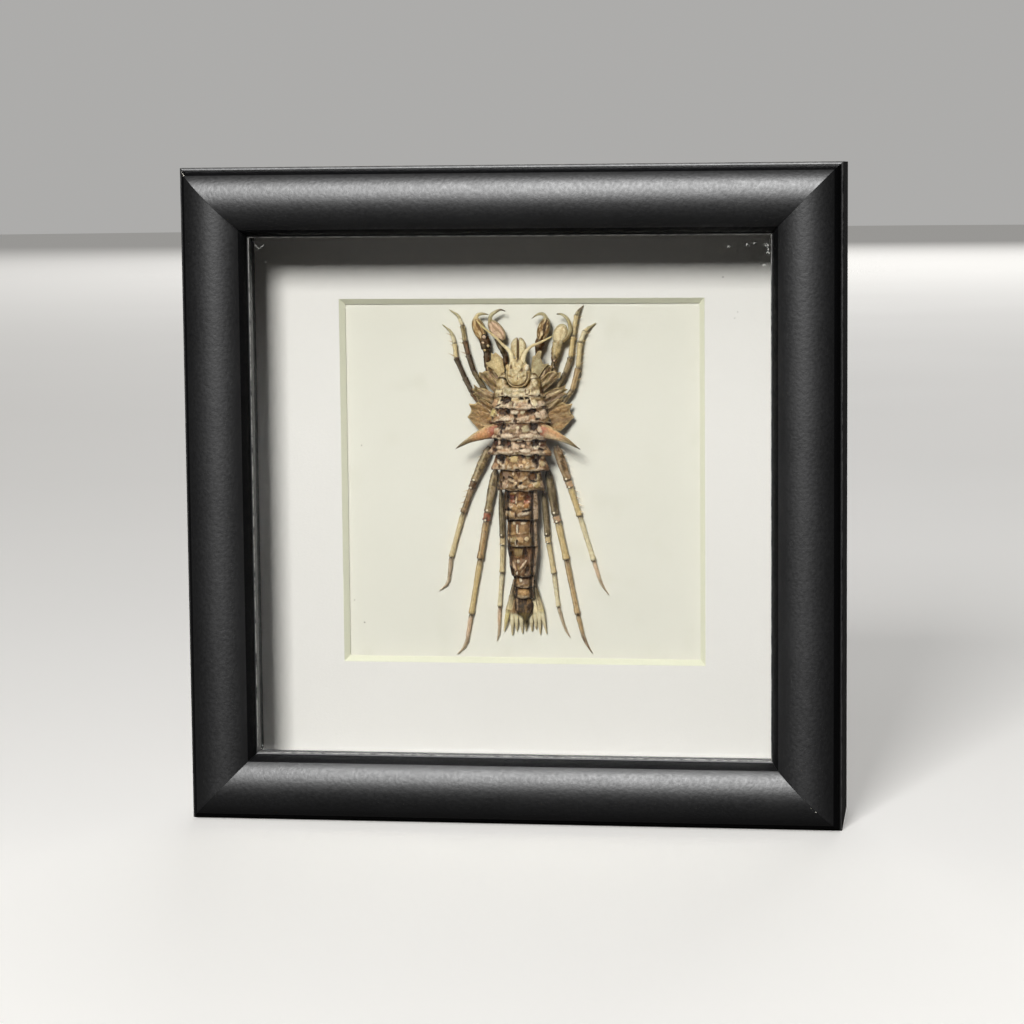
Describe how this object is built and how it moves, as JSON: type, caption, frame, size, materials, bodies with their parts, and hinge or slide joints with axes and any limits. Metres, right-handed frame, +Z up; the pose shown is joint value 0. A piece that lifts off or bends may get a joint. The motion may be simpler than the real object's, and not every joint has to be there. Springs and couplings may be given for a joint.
{
  "type": "framed amphipod",
  "caption": "Dried spiny amphipod on a cream card, behind a bevelled window mat and glass in a small square black shadow box frame; it stands on its lower rail or hangs on a wall.",
  "frame": {"origin": "middle of the footprint, on the surface that the lower rail stands on", "axes": "+X to the viewer's right along the lower rail, +Y into the frame, away from the viewer who faces the glass, +Z up along the specimen, tail to head"},
  "size_m": [0.16, 0.036, 0.16],
  "materials": {
    "black_lacquer": "satin",
    "clear_glass": "gloss",
    "black_card": "matte",
    "mat_white": "matte",
    "card_cream": "matte",
    "board_brown": "matte",
    "bright_steel": "satin",
    "armour_cream": "satin",
    "leg_tan": "satin",
    "claw_tan": "satin",
    "feeler_cream": "satin",
    "tail_straw": "satin"
  },
  "bodies": {
    "root": {"frame_rail_top": "black_lacquer", "frame_rail_bottom": "black_lacquer", "frame_rail_left": "black_lacquer", "frame_rail_right": "black_lacquer", "glass_pane": "clear_glass", "spacer_top": "black_card", "spacer_bottom": "black_card", "spacer_left": "black_card", "spacer_right": "black_card", "window_mat": "mat_white", "backing_card": "card_cream", "back_board": "board_brown", "board_point_1": "bright_steel", "board_point_2": "bright_steel", "board_point_3": "bright_steel", "board_point_4": "bright_steel", "board_point_5": "bright_steel", "board_point_6": "bright_steel", "board_point_7": "bright_steel", "board_point_8": "bright_steel", "sawtooth_hanger": "bright_steel", "hanger_nail_left": "bright_steel", "hanger_nail_right": "bright_steel", "body": "armour_cream", "front_leg_inner_left": "leg_tan", "front_leg_inner_right": "leg_tan", "front_leg_outer_left": "leg_tan", "front_leg_outer_right": "leg_tan", "rear_leg_outer_left": "leg_tan", "rear_leg_outer_right": "leg_tan", "rear_leg_middle_left": "leg_tan", "rear_leg_middle_right": "leg_tan", "rear_leg_inner_left": "leg_tan", "rear_leg_inner_right": "leg_tan", "claw_arm_inner_left": "claw_tan", "claw_arm_inner_right": "claw_tan", "claw_arm_outer_left": "claw_tan", "claw_arm_outer_right": "claw_tan", "antenna_left": "feeler_cream", "antenna_right": "feeler_cream", "tail_fan": "tail_straw"}
  },
  "joints": []
}
